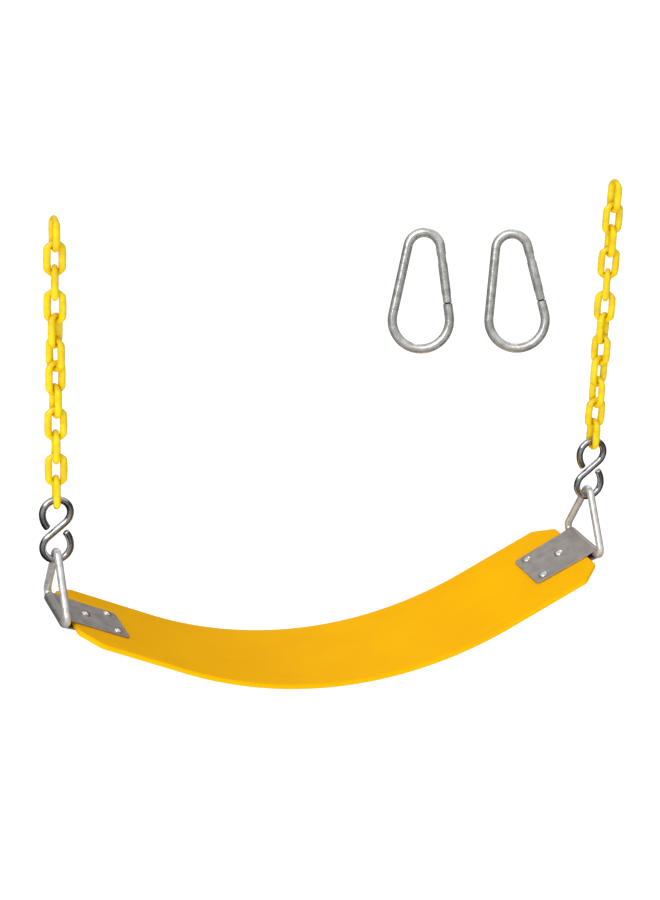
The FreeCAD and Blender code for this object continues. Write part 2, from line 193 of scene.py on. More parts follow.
class Graph:
    """A shader or geometry tree."""

    def __init__(self, tree):
        self.tree = tree
        tree.nodes.clear()

    def node(self, kind, settings=None, values=()):
        """Adds a node: settings first, then the numbers or links of its sockets."""
        node = self.tree.nodes.new(kind)
        for name, value in (settings or {}).items():
            setattr(node, name, value)
        pairs = values.items() if isinstance(values, dict) else enumerate(values)
        for key, value in pairs:
            target = node.inputs[key]
            if isinstance(value, Socket):
                self.tree.links.new(value.socket, target)
            else:
                target.default_value = value
        return Socket(self, node.outputs[0]) if node.outputs else None

    def ramp(self, value, low, high, start=0.0, end=1.0):
        """Smooth step from start to end, as the value goes from low to high."""
        return self.node("ShaderNodeMapRange", {"interpolation_type": "SMOOTHSTEP"},
                         {"Value": value, "From Min": low, "From Max": high,
                          "To Min": start, "To Max": end})

    def noise(self, where, scale, detail=2.0, roughness=0.5):
        return self.node("ShaderNodeTexNoise", None,
                         {"Vector": where, "Scale": scale, "Detail": detail,
                          "Roughness": roughness})

    def blend(self, mask, first, second):
        """Colour that goes from the first to the second with the mask."""
        mix = self.node("ShaderNodeMix", {"data_type": "RGBA"},
                        {0: mask, 6: first, 7: second})
        return mix.output(2)


def rgb(red, green, blue):
    """Colour of a shader socket, from display values of 0 to 255."""
    def linear(value):
        value /= 255
        return value / 12.92 if value <= 0.04045 else ((value + 0.055) / 1.055) ** 2.4
    return (linear(red), linear(green), linear(blue), 1.0)


def new_finish(name, build):
    """Material of that name. build adds its nodes and returns the shader's sockets."""
    material = bpy.data.materials.new(name)
    material.use_nodes = True
    graph = Graph(material.node_tree)
    where = graph.node("ShaderNodeTexCoord").output("Object")
    shader = graph.node("ShaderNodeBsdfPrincipled", None, build(graph, where))
    graph.node("ShaderNodeOutputMaterial", None, {"Surface": shader})
    return material


def relief(graph, height, distance, strength):
    """Fine bumps of that height on the shader's normal."""
    return graph.node("ShaderNodeBump", None,
                      {"Strength": strength, "Distance": distance, "Height": height})


# ---- Finishes -----------------------------------------------------------------------
def chain_coating(graph, where):
    """Thick glossy vinyl, dipped: soft lumps, thinner and scuffed where links bear, and darker
    amber there for wear and painted shade.
    """
    rub_and_shade = graph.node("ShaderNodeAttribute", {"attribute_name": "bearing"}).output("Fac")
    clouds = graph.noise(where, 95, 3)
    drips = graph.noise(where, 240, 2)
    peel = graph.noise(where, 1500, 2)
    scuffs = graph.ramp(graph.noise(where, 620, 4, 0.7), 0.56, 0.70)
    colour = graph.blend(graph.ramp(clouds, 0.32, 0.68), rgb(233, 193, 2), rgb(245, 217, 9))
    # Darker amber where links bear: partly wear, partly painted shade in the joints between
    # links.
    colour = graph.blend(rub_and_shade * 0.45, colour, rgb(226, 170, 2))
    colour = graph.blend(scuffs * (0.10 + rub_and_shade * 0.35), colour, rgb(190, 140, 40))
    return {
        "Base Color": colour,
        "Roughness": 0.20 + clouds * 0.10 + scuffs * 0.14 + rub_and_shade * 0.12,
        "Normal": relief(graph, drips + peel * 0.12, 0.0006, 0.5),
        "Specular IOR Level": 0.40,
        "Coat Weight": 0.15,
        "Coat Roughness": 0.15,
    }


def belt_rubber(graph, where):
    """Moulded rubber: fine pebbled skin, faint streaks and rubbed patches."""
    clouds = graph.noise(where, 9, 4, 0.6)
    pebbles = graph.node("ShaderNodeTexVoronoi", {"feature": "SMOOTH_F1"},
                         {"Vector": where, "Scale": 900.0})
    grain = graph.noise(where, 2600, 2)
    stretched = graph.node("ShaderNodeMapping", None,
                           {"Vector": where, "Scale": (1.0, 22.0, 1.0)})
    streaks = graph.noise(stretched, 14, 5, 0.62)
    specks = graph.ramp(graph.noise(where, 480, 3, 0.7), 0.68, 0.76)
    colour = graph.blend(graph.ramp(clouds, 0.30, 0.72), rgb(243, 176, 0), rgb(248, 184, 0))
    colour = graph.blend(graph.ramp(streaks, 0.50, 0.72, 0.0, 0.30), colour, rgb(250, 192, 6))
    colour = graph.blend(specks * 0.22, colour, rgb(196, 132, 10))
    return {
        "Base Color": colour,
        "Roughness": 0.42 + clouds * 0.16 + streaks * 0.06,
        "Normal": relief(graph, pebbles * 0.8 + grain * 0.5, 0.00022, 0.45),
        "Specular IOR Level": 0.04,
    }


def galvanised_plate(graph, where):
    """Dull galvanised sheet: large faint spangles, rolling lines and small scratches."""
    spangle = graph.node("ShaderNodeTexVoronoi", {"feature": "F1"},
                         {"Vector": where, "Scale": 170.0, "Randomness": 1.0})
    tone = graph.node("ShaderNodeSeparateColor", None,
                      {"Color": spangle.output("Color")})
    rolled = graph.node("ShaderNodeMapping", None,
                        {"Vector": where, "Scale": (1.0, 60.0, 1.0)})
    lines = graph.noise(rolled, 40, 4, 0.6)
    mottle = graph.noise(where, 60, 4, 0.6)
    scratches = graph.ramp(graph.noise(rolled, 150, 3, 0.7), 0.66, 0.72)
    colour = graph.blend(graph.ramp(mottle, 0.30, 0.70), rgb(160, 154, 150), rgb(182, 176, 172))
    colour = graph.blend(tone * 0.30, colour, rgb(194, 188, 186))
    colour = graph.blend(scratches * 0.35, colour, rgb(222, 220, 218))
    return {
        "Base Color": colour,
        "Metallic": 0.92,
        "Roughness": 0.40 + tone * 0.10 + mottle * 0.12 - scratches * 0.10,
        "Normal": relief(graph, lines * 0.5 + tone * 0.3 + mottle * 0.6, 0.00012, 0.6),
    }


def zinc(light, dark, low_gloss, high_gloss, dents, metal=1.0):
    """Zinc plated round bar: small dents, cloudy plating, dull specks. Less metal is duller."""
    def build(graph, where):
        clouds = graph.noise(where, 130, 4, 0.6)
        fine = graph.noise(where, 1700, 3, 0.6)
        hammered = graph.noise(where, 330, 2)
        specks = graph.ramp(graph.noise(where, 760, 4, 0.75), 0.63, 0.70)
        colour = graph.blend(graph.ramp(clouds, 0.32, 0.68), dark, light)
        colour = graph.blend(specks * 0.35, colour, rgb(120, 119, 114))
        return {
            "Base Color": colour,
            "Metallic": metal - specks * 0.15,
            "Roughness": low_gloss + clouds * (high_gloss - low_gloss) + specks * 0.14,
            "Normal": relief(graph, hammered + fine * 0.10, dents, 0.6),
        }
    return build


def with_seam(build, seam, axis):
    """The same finish, with painted shade drawn dark in the narrow joint round that point of a
    bar.
    """
    def seamed(graph, where):
        sockets = build(graph, where)
        away = graph.node("ShaderNodeVectorMath", {"operation": "SUBTRACT"}, (where, seam))
        along = graph.node("ShaderNodeVectorMath", {"operation": "DOT_PRODUCT"},
                           (away, axis)).output("Value")
        far = graph.node("ShaderNodeVectorMath", {"operation": "LENGTH"},
                         (away,)).output("Value")
        near = graph.ramp(far, SEAM_REACH, SEAM_REACH * 1.3, 1.0, 0.0)
        # Painted shade: the metal in the narrow gap at the seam is drawn dark and less metallic.
        seam_shade = graph.ramp(abs(along), SEAM_GAP * 0.6, SEAM_GAP * 1.1, 1.0, 0.0) * near
        sockets["Base Color"] = graph.blend(seam_shade, sockets["Base Color"], rgb(44, 43, 41))
        sockets["Metallic"] = sockets["Metallic"] * (1 - seam_shade)
        return sockets
    return seamed


SNAP_ZINC = zinc(rgb(214, 214, 211), rgb(178, 178, 175), 0.20, 0.34, 0.0003, 0.72)
FINISHES = {
    "coated_chain": new_finish("Vinyl chain coating", chain_coating),
    "belt_rubber": new_finish("Moulded belt rubber", belt_rubber),
    "galvanised_plate": new_finish("Galvanised plate", galvanised_plate),
    "zinc_wire": new_finish("Bright zinc wire", zinc(
        rgb(205, 205, 206), rgb(168, 169, 171), 0.12, 0.24, 0.00025)),
    "dee_zinc": new_finish("Dull zinc wire", zinc(
        rgb(244, 243, 240), rgb(214, 212, 207), 0.24, 0.38, 0.00025, 0.62)),
    "rivet_steel": new_finish("Zinc rivets", zinc(
        rgb(236, 236, 234), rgb(208, 207, 203), 0.20, 0.36, 0.0003)),
    "spring_steel": new_finish("Spring steel wire", zinc(
        rgb(190, 188, 184), rgb(150, 148, 145), 0.25, 0.40, 0.0001)),
}


# ---- Geometry trees -----------------------------------------------------------------
def new_tree(name, sockets):
    """Geometry tree with those named inputs. Returns it, its graph and its inputs."""
    tree = bpy.data.node_groups.new(name, "GeometryNodeTree")
    graph = Graph(tree)
    for label, kind in sockets.items():
        tree.interface.new_socket(label, in_out="INPUT", socket_type="NodeSocket" + kind)
    tree.interface.new_socket("Geometry", in_out="OUTPUT", socket_type="NodeSocketGeometry")
    group = graph.node("NodeGroupInput")
    return tree, graph, {label: group.output(label) for label in sockets}


def finish_tree(graph, geometry, finish):
    """Smooths, realises and paints the result, and sends it out of the tree."""
    smooth = graph.node("GeometryNodeSetShadeSmooth", {"domain": "FACE"},
                        {"Geometry": geometry, "Shade Smooth": True})
    angle = graph.node("GeometryNodeInputMeshEdgeAngle").output("Unsigned Angle")
    sharp = graph.node("FunctionNodeCompare", {"operation": "GREATER_THAN"},
                       {"A": angle, "B": CREASE})
    creased = graph.node("GeometryNodeSetShadeSmooth", {"domain": "EDGE"},
                         {"Geometry": smooth, "Selection": sharp, "Shade Smooth": False})
    real = graph.node("GeometryNodeRealizeInstances", None, {"Geometry": creased})
    painted = graph.node("GeometryNodeSetMaterial", None,
                         {"Geometry": real, "Material": finish})
    graph.node("NodeGroupOutput", None, {"Geometry": painted})


def combine(graph, x, y, z):
    """Vector of three values."""
    return graph.node("ShaderNodeCombineXYZ", None, (x, y, z))


def push_out(graph, geometry, amount):
    """Moves the surface along its normal by that amount."""
    normal = graph.node("GeometryNodeInputNormal")
    offset = graph.node("ShaderNodeVectorMath", {"operation": "SCALE"},
                        {"Vector": normal, "Scale": amount})
    return graph.node("GeometryNodeSetPosition", None,
                      {"Geometry": geometry, "Offset": offset})


def seeded_noise(graph, scale, seed):
    """Noise over a surface, with its own pattern for each seed."""
    where = graph.node("GeometryNodeInputPosition")
    return graph.node("ShaderNodeTexNoise", {"noise_dimensions": "4D"},
                      {"Vector": where, "W": seed, "Scale": scale, "Detail": 1.0})


def link_tree():
    """Oval chain link in thick coating that thins towards the two bearing bows."""
    tree, graph, given = new_tree("Coated link", {
        "Leg Spacing": "Float", "Opening": "Float", "Leg Gauge": "Float", "Bow Gauge": "Float",
        "Lumps": "Float", "Turn": "Float", "Centre": "Vector", "Seed": "Float",
        "Finish": "Material"})
    ring = graph.node("GeometryNodeCurvePrimitiveCircle", {"mode": "RADIUS"},
                      {"Resolution": LINK_STEPS, "Radius": 1.0})
    angle = graph.node("GeometryNodeInputIndex") * (2 * pi / LINK_STEPS)
    across = graph.node("ShaderNodeMath", {"operation": "COSINE"}, (angle,))
    up = graph.node("ShaderNodeMath", {"operation": "SINE"}, (angle,))
    half = given["Leg Spacing"] * 0.5
    straight = (given["Opening"] + given["Bow Gauge"] - given["Leg Spacing"]) * 0.5
    spread = graph.node("ShaderNodeClamp", None,
                        {"Value": up * LEG_SPREAD, "Min": -1.0, "Max": 1.0})
    place = combine(graph, across * half, 0.0, up * half + spread * straight)
    oval = graph.node("GeometryNodeSetPosition", None, {"Geometry": ring, "Position": place})
    thin = graph.ramp(abs(up), *TAPER)
    radius = (given["Leg Gauge"] - thin * (given["Leg Gauge"] - given["Bow Gauge"])) * 0.5
    for label, value in (("thin", thin), ("bearing", graph.ramp(abs(up), *BEARING))):
        oval = graph.node("GeometryNodeStoreNamedAttribute", {"data_type": "FLOAT"},
                          {"Geometry": oval, "Name": label, "Value": value})
    profile = graph.node("GeometryNodeCurvePrimitiveCircle", {"mode": "RADIUS"},
                         {"Resolution": BAR_SIDES, "Radius": 1.0})
    body = graph.node("GeometryNodeCurveToMesh", None,
                      {"Curve": oval, "Profile Curve": profile, "Scale": radius})
    worn = graph.node("GeometryNodeInputNamedAttribute", {"data_type": "FLOAT"},
                      {"Name": "thin"})
    lumps = (seeded_noise(graph, LUMP_SCALE, given["Seed"]) - LUMP_LEVEL) * given["Lumps"]
    body = push_out(graph, body, lumps * (1 - worn))
    turned = graph.node("GeometryNodeTransform", None,
                        {"Geometry": body, "Translation": given["Centre"],
                         "Rotation": combine(graph, 0.0, 0.0, given["Turn"])})
    finish_tree(graph, turned, given["Finish"])
    return tree


def wire_tree():
    """Round bar along a path, with eased cut ends and small dents."""
    tree, graph, given = new_tree("Bent wire", {
        "Geometry": "Geometry", "Wire": "Float", "Step": "Float", "End Round": "Float",
        "Dents": "Float", "Seed": "Float", "Finish": "Material"})
    path = graph.node("GeometryNodeResampleCurve", {"mode": "LENGTH"},
                      {"Curve": given["Geometry"], "Length": given["Step"]})
    total = graph.node("GeometryNodeSplineLength").output("Length")
    run = graph.node("GeometryNodeSplineParameter").output("Length")
    to_end = graph.node("ShaderNodeMath", {"operation": "MINIMUM"}, (run, total - run))
    share = graph.node("ShaderNodeClamp", None, {"Value": to_end / given["End Round"]})
    eased = (1 - (1 - share) ** 2) ** 0.5
    drop = given["End Round"] * (1 - eased)
    cyclic = graph.node("GeometryNodeInputSplineCyclic")
    radius = given["Wire"] * 0.5 - drop * (1 - cyclic)
    profile = graph.node("GeometryNodeCurvePrimitiveCircle", {"mode": "RADIUS"},
                         {"Resolution": BAR_SIDES, "Radius": 1.0})
    bar = graph.node("GeometryNodeCurveToMesh", None,
                     {"Curve": path, "Profile Curve": profile, "Scale": radius,
                      "Fill Caps": True})
    dents = (seeded_noise(graph, DENT_SCALE, given["Seed"]) - DENT_LEVEL) * given["Dents"]
    finish_tree(graph, push_out(graph, bar, dents), given["Finish"])
    return tree


def rivet_tree():
    """Closed round head at each point, tilted to stand on the plate."""
    around, rings = 41, 19
    under_share = 0.25        # rings under the head, to each ring over it
    fullness = 0.8            # 1 is half an ellipsoid, less is a fuller dome
    tree, graph, given = new_tree("Rivet heads", {
        "Geometry": "Geometry", "Width": "Float", "Height": "Float", "Tilt": "Float",
        "Finish": "Material"})
    sheet = graph.node("GeometryNodeMeshGrid", None,
                       {"Size X": 1.0, "Size Y": 1.0, "Vertices X": around, "Vertices Y": rings})
    place = graph.node("GeometryNodeInputPosition")
    parts = graph.node("ShaderNodeSeparateXYZ", None, {"Vector": place})
    turn = (parts.output("X") + 0.5) * (2 * pi)
    run = (parts.output("Y") + 0.5) * (1 + under_share)
    dome = graph.node("ShaderNodeClamp", None, {"Value": run}) * (pi / 2)
    under = graph.node("ShaderNodeClamp", None, {"Value": (run - 1) * (1 / under_share)})
    outward = graph.node("ShaderNodeMath", {"operation": "SINE"}, (dome,))
    upward = graph.node("ShaderNodeMath", {"operation": "COSINE"}, (dome,))
    reach = outward * (1 - under) * given["Width"] * 0.5
    lift = (upward ** fullness) * given["Height"]
    cosine = graph.node("ShaderNodeMath", {"operation": "COSINE"}, (turn,))
    sine = graph.node("ShaderNodeMath", {"operation": "SINE"}, (turn,))
    head = graph.node("GeometryNodeSetPosition", None,
                      {"Geometry": sheet,
                       "Position": combine(graph, reach * cosine, reach * sine, lift)})
    head = graph.node("GeometryNodeMergeByDistance", None,
                      {"Geometry": head, "Distance": SAME_PLACE})
    heads = graph.node("GeometryNodeInstanceOnPoints", None,
                       {"Points": given["Geometry"], "Instance": head,
                        "Rotation": combine(graph, 0.0, given["Tilt"], 0.0)})
    finish_tree(graph, heads, given["Finish"])
    return tree


def grow(name, source, tree, values):
    """Runs a tree on a mesh or curve and keeps the result as one plain mesh."""
    holder = bpy.data.objects.new(name + "_source", source)
    bpy.context.scene.collection.objects.link(holder)
    modifier = holder.modifiers.new("Shape", "NODES")
    modifier.node_group = tree
    for item in tree.interface.items_tree:
        if item.in_out == "INPUT" and item.name in values:
            modifier[item.identifier] = values[item.name]
    depsgraph = bpy.context.evaluated_depsgraph_get()
    shaped = holder.evaluated_get(depsgraph)
    mesh = bpy.data.meshes.new_from_object(shaped, depsgraph=depsgraph)
    holder.modifiers.remove(modifier)
    bpy.data.objects.remove(holder)
    return close(name, mesh)


def close(name, mesh):
    """Object of that mesh, with its doubles merged and its faces turned outwards."""
    shell = bmesh.new()
    shell.from_mesh(mesh)
    bmesh.ops.remove_doubles(shell, verts=shell.verts, dist=WELD)
    bmesh.ops.recalc_face_normals(shell, faces=shell.faces)
    shell.to_mesh(mesh)
    shell.free()
    mesh.name = name
    piece = bpy.data.objects.new(name, mesh)
    bpy.context.scene.collection.objects.link(piece)
    return piece


def hand_over(piece, body, slot, *nodes):
    """Puts a finished piece in the place of its CAD nodes."""
    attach(piece, body)
    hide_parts(*nodes)


def dot(points):
    """Mesh of loose points, for a tree that places something on them."""
    mesh = bpy.data.meshes.new("points")
    mesh.from_pydata([tuple(point) for point in points], [], [])
    return mesh


def path(points, closed):
    """Curve through those points."""
    curve = bpy.data.curves.new("path", "CURVE")
    curve.dimensions = "3D"
    spline = curve.splines.new("POLY")
    spline.points.add(len(points) - 1)
    for place, point in zip(spline.points, points):
        place.co = (*point, 1.0)
    spline.use_cyclic_u = closed
    return curve


def arc(centre, radius, start, end, steps=24):
    """Points of an arc in a plane, as (across, up), between two angles in degrees."""
    angles = [radians(start + (end - start) * step / steps) for step in range(steps + 1)]
    return [(centre[0] + radius * cos(angle), centre[1] + radius * sin(angle))
            for angle in angles]


def without_repeats(points):
    """The same points, less each that lies on the one before it."""
    kept = [points[0]]
    for point in points[1:]:
        if hypot(point[0] - kept[-1][0], point[1] - kept[-1][1]) > SAME_PLACE:
            kept.append(point)
    return kept


# ---- Chains -------------------------------------------------------------------------
def link_turn(side, number):
    """Quarter turn from link to link, and the extra twist that each chain carries."""
    spread = min(max((number - TWIST_START[side]) / TWIST_LINKS[side], 0.0), 1.0)
    return radians(90.0 * number + BASE_TURN[side] * (1 - spread) + EXTRA_TWIST * spread)


def make_chains():
    """The coated links of both chains, numbered from the seat up."""
    tree = link_tree()
    for side_index, side in enumerate(SIDES):
        for number in range(1, LINK_COUNT + 1):
            node = "chain_%s_link_%02d" % (side, number)
            link = grow("coated_link_%s_%02d" % (side, number), dot([(0, 0, 0)]), tree, {
                "Leg Spacing": LINK_LEG_SPACING, "Opening": LINK_OPENING + BOW_WEAR,
                "Leg Gauge": LINK_LEG_GAUGE, "Bow Gauge": LINK_BOW_GAUGE - BOW_WEAR,
                "Lumps": COATING_LUMPS, "Turn": link_turn(side, number),
                "Centre": middle(node), "Seed": float(number + side_index * LINK_COUNT),
                "Finish": FINISHES["coated_chain"]})
            top = number == LINK_COUNT
            body = "hanging_points" if top else "%s_link_%02d" % (side, number)
            hand_over(link, body, "coated_chain", node)


# ---- S-hooks and dees ---------------------------------------------------------------
def s_hook_line():
    """Middle line of the S-hook, from one cut end to the other."""
    diagonal = degrees(asin(S_LOBE_RADIUS / S_LOBE_OFFSET))
    arm_turn = degrees(asin(S_ARM_DROP / S_ARM_RADIUS))
    arm = (S_ARM_RADIUS - S_LOBE_RADIUS, S_LOBE_OFFSET)
    half = arc(arm, S_ARM_RADIUS, 180 + arm_turn, 180)
    half += arc((0, S_LOBE_OFFSET), S_LOBE_RADIUS, 180, -diagonal, 48)
    return without_repeats(half + [(-x, -z) for x, z in reversed(half)])


def dee_line():
    """Middle line of the dee, with the middle of its base bar at (0, 0)."""
    corner = DEE_HALF_WIDTH - DEE_WIRE / 2 - DEE_CORNER_RADIUS
    rise = DEE_HEIGHT - DEE_TOP_RADIUS - DEE_CORNER_RADIUS
    apart = hypot(corner, rise)
    lean = degrees(atan2(corner, rise) - asin((DEE_TOP_RADIUS - DEE_CORNER_RADIUS) / apart))
    half = [(0.0, 0.0)]
    half += arc((corner, DEE_CORNER_RADIUS), DEE_CORNER_RADIUS, -90, lean)
    half += arc((0, DEE_HEIGHT - DEE_TOP_RADIUS), DEE_TOP_RADIUS, lean, 90)
    return without_repeats(half + [(-y, z) for y, z in reversed(half[1:-1])])


def make_rings():
    """The two S-hooks and the two dees, of bent wire."""
    tree = wire_tree()
    for seed, side in enumerate(SIDES):
        centre = middle("s_hook_" + side)
        points = [centre + Vector((x, 0, z)) for x, z in s_hook_line()]
        hook = grow("s_hook_wire_" + side, path(points, False), tree, {
            "Wire": S_WIRE, "Step": WIRE_STEP, "End Round": CUT_END_ROUND, "Dents": WIRE_DENTS,
            "Seed": 31.0 + seed, "Finish": FINISHES["zinc_wire"]})
        hand_over(hook, side + "_s_hook", "zinc_wire", "s_hook_" + side)
        x = HALF_SPAN if side == "right" else -HALF_SPAN
        points = [Vector((x, y, BAR_Z + z)) for y, z in dee_line()]
        ring = grow("dee_ring_" + side, path(points, True), tree, {
            "Wire": DEE_WIRE, "Step": WIRE_STEP, "End Round": CUT_END_ROUND, "Dents": WIRE_DENTS,
            "Seed": 41.0 + seed, "Finish": FINISHES["dee_zinc"]})
        hand_over(ring, side + "_dee", "zinc_wire", "dee_" + side)


# ---- Seat ---------------------------------------------------------------------------
ALONG = Vector((cos(END_SLOPE), 0, sin(END_SLOPE)))       # out along the right end
ABOVE = Vector((-sin(END_SLOPE), 0, cos(END_SLOPE)))
BAR = Vector((HALF_SPAN, 0, BAR_Z))


def section(half_width, half_thickness, rim, across=28, corner=5):
    """Rounded outline of a band, as (sideways, above), once round."""
    rim = min(rim, half_thickness * 0.99)
    flat_width, flat_thickness = half_width - rim, half_thickness - rim
    outline = []
    for turn, (side, up) in ((-90, (1, -1)), (0, (1, 1)), (90, (-1, 1)), (180, (-1, -1))):
        outline += arc((side * flat_width, up * flat_thickness), rim, turn, turn + 90, corner)
        if side * up > 0:
            start, end = outline[-1], (-outline[-1][0], outline[-1][1])
            outline += [(start[0] + (end[0] - start[0]) * step / across, start[1])
                        for step in range(1, across)]
    return outline


def band(name, stations, rim, finish):
    """Closed band through stations of (point, normal, half width, half thickness)."""
    mesh = bpy.data.meshes.new(name)
    rings = [[point + Vector((0, sideways, 0)) + normal * above
              for sideways, above in section(half_width, half_thickness, rim)]
             for point, normal, half_width, half_thickness in stations]
    count = len(rings[0])
    faces = [tuple(range(count)), tuple(range(len(rings) * count - count, len(rings) * count))]
    for row in range(len(rings) - 1):
        for column in range(count):
            beside = (column + 1) % count
            faces.append((row * count + column, row * count + beside,
                          (row + 1) * count + beside, (row + 1) * count + column))
    mesh.from_pydata([tuple(point) for ring in rings for point in ring], [], faces)
    piece = close(name, mesh)
    mesh.materials.append(finish)
    for polygon in mesh.polygons:
        polygon.use_smooth = len(polygon.vertices) == 4
    return piece


def eased_ends(length, rim, step):
    """Distances along a band, close together near its two ends."""
    fine = [rim * (1 - cos(radians(angle))) for angle in range(15, 91, 15)]
    count = int((length - 2 * rim) / step)
    inner = [rim + (length - 2 * rim) * index / count for index in range(1, count)]
    return fine + inner + [length - distance for distance in reversed(fine)]


def rounding(distance, rim):
    """How far the section draws in at that distance from an end."""
    if distance >= rim:
        return 0.0
    return rim - sqrt(max(rim ** 2 - (rim - distance) ** 2, 0.0))


def make_belt():
    """The moulded strap: an arc with straight ends, and its corners cut off."""
    shifts = (-0.5, -0.25, 0, 0.25, 0.5)
    bend = BELT_RADIUS * sin(END_SLOPE)
    straight = (HALF_SPAN - bend) / cos(END_SLOPE) - BELT_END_INSET
    half_length = BELT_RADIUS * END_SLOPE + straight
    centre = Vector((0, 0, BAR_Z - (HALF_SPAN - bend) * tan(END_SLOPE)
                     + BELT_RADIUS * cos(END_SLOPE)))
    stations = []
    for distance in eased_ends(2 * half_length, BELT_RIM, BELT_STEP):
        along = distance - half_length
        angle = max(-END_SLOPE, min(END_SLOPE, along / BELT_RADIUS))
        normal = Vector((-sin(angle), 0, cos(angle)))
        point = centre - normal * BELT_RADIUS
        point += Vector((cos(angle), 0, sin(angle))) * (along - angle * BELT_RADIUS)
        to_end = half_length - abs(along)
        cut = sum(max(0.0, 1 - (to_end + CORNER_EASE * shift) / CHAMFER_ALONG)
                  for shift in shifts) / len(shifts)
        draw = rounding(to_end, BELT_RIM)
        stations.append((point, normal,
                         BELT_HALF_WIDTH - min(cut, 1.0) * CHAMFER_ACROSS - draw,
                         BELT_HALF_THICKNESS - draw))
    piece = band("moulded_belt", stations, BELT_RIM, FINISHES["belt_rubber"])
    hand_over(piece, "seat", "belt_rubber", "belt_seat")


def plate_half_width(inward):
    """Half the plate's width at that distance in from the base bar."""
    eye, inner = PLATE_EYE_WIDTH / 2, PLATE_INNER_WIDTH / 2
    half = eye + (inner - eye) * max(inward, 0.0) / PLATE_LENGTH
    return half - max(0.0, inward - (PLATE_LENGTH - PLATE_CORNER))


def plate_line():
    """Middle line of the folded plate, as (inward, above), from one inner end to the other."""
    fold, flat = EYE_RADIUS + SHEET / 2, GRIP - SHEET / 2
    lean = asin((fold - flat) / hypot(EYE_TAPER, fold - flat))
    half = [(PLATE_LENGTH, flat), (EYE_TAPER + PLATE_EASE, flat)]
    half += [(EYE_TAPER - PLATE_EASE, flat + PLATE_EASE * tan(lean))]
    half += [(-x, z) for x, z in arc((0, 0), fold, 90 + degrees(lean), 0, 16)]
    return half + [(x, -z) for x, z in reversed(half[:-1])]


def make_bracket(side):
    """Plate folded round the base bar of a dee."""
    line = plate_line()
    runs = [hypot(b[0] - a[0], b[1] - a[1]) for a, b in zip(line, line[1:])]
    stations, length = [], sum(runs)
    for distance in eased_ends(length, PLATE_RIM, PLATE_STEP):
        index, left_over = 0, distance
        while index < len(runs) - 1 and left_over > runs[index]:
            left_over -= runs[index]
            index += 1
        (x0, z0), (x1, z1) = line[index], line[index + 1]
        share = left_over / runs[index]
        inward, above = x0 + (x1 - x0) * share, z0 + (z1 - z0) * share
        normal = (ABOVE * (x0 - x1) + ALONG * (z0 - z1)) / runs[index]
        draw = rounding(min(distance, length - distance), PLATE_RIM)
        stations.append([BAR - ALONG * inward + ABOVE * above, normal,
                         plate_half_width(inward) - draw, SHEET / 2 - draw])
    for _ in range(NORMAL_PASSES):
        normals = [station[1] for station in stations]
        for index in range(1, len(stations) - 1):
            mean = normals[index - 1] + normals[index] * 2 + normals[index + 1]
            stations[index][1] = mean.normalized()
    if side == "left":
        stations = [(Vector((-point.x, point.y, point.z)),
                     Vector((-normal.x, normal.y, normal.z)), width, thickness)
                    for point, normal, width, thickness in stations]
    piece = band("folded_plate_" + side, stations, PLATE_RIM, FINISHES["galvanised_plate"])
    hand_over(piece, "seat", "galvanised_plate", "bracket_" + side)


def make_rivets(side):
    """Heads above the plate and tails below it."""
    tree = rivet_tree()
    mirror = 1 if side == "right" else -1
    halves = []
    for up, (width, height) in ((1, RIVET_HEAD), (-1, RIVET_TAIL)):
        places = [BAR - ALONG * inward + ABOVE * (up * GRIP) + Vector((0, sideways, 0))
                  for inward, sideways in RIVET_PLACES]
        tilt = -END_SLOPE * mirror + (0 if up > 0 else pi)
        halves.append(grow("rivet_half_%d" % up, dot(
            [(place.x * mirror, place.y, place.z) for place in places]), tree, {
                "Width": width, "Height": height, "Tilt": tilt,
                "Finish": FINISHES["rivet_steel"]}))
    heads, tails = halves
    whole = bmesh.new()
    whole.from_mesh(heads.data)
    whole.from_mesh(tails.data)
    whole.to_mesh(heads.data)
    whole.free()
    bpy.data.objects.remove(tails)
    heads.name = heads.data.name = "rivet_heads_" + side
    hand_over(heads, "seat", "rivet_steel", "rivets_" + side)


def dress_snap_hooks():
    """Finishes on the CAD nodes of the two snap hooks."""
    for side in SIDES:
        latch = middle("snap_%s_latch_pin" % side)
        axis = (latch - middle("snap_%s_hinge_pin" % side)).normalized()
        seam = latch + axis * (LATCH_PIN_HEIGHT + SEAM_GAP / 2)
        zinc_finish = new_finish("Satin zinc snap hook " + side,
                                 with_seam(SNAP_ZINC, tuple(seam), tuple(axis)))
        for name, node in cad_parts.items():
            if name.startswith("snap_" + side):
                coil = name.endswith("_spring")
                node.data.materials.clear()
                node.data.materials.append(FINISHES["spring_steel"] if coil else zinc_finish)


# ---- Studio -------------------------------------------------------------------------
VIEW_TURN = radians(21.943)
VIEW_DOWN = radians(21.793)
VIEW_ROLL = radians(2.415)
CAMERA_PLACE = Vector((-0.80342, -1.97392, 0.58738))
LENS = 88.80
SENSOR_WIDTH = 36.0
FLOOR_REACH = 14.0
FLOOR_DROP = 0.9                    # below the object
FLOOR_GLOW = 0.22
WALL_REACH = 13.0
WALL_DROP = 0.5                     # below the floor
WALL_TOP = 9.0
WALL_SIDES = 48
DIM_GLOW = 0.05                     # least glow of the world, before the shade below
FRONT_GLOW = 0.42
ABOVE_GLOW = 0.70
BELOW_SHADE = 0.92


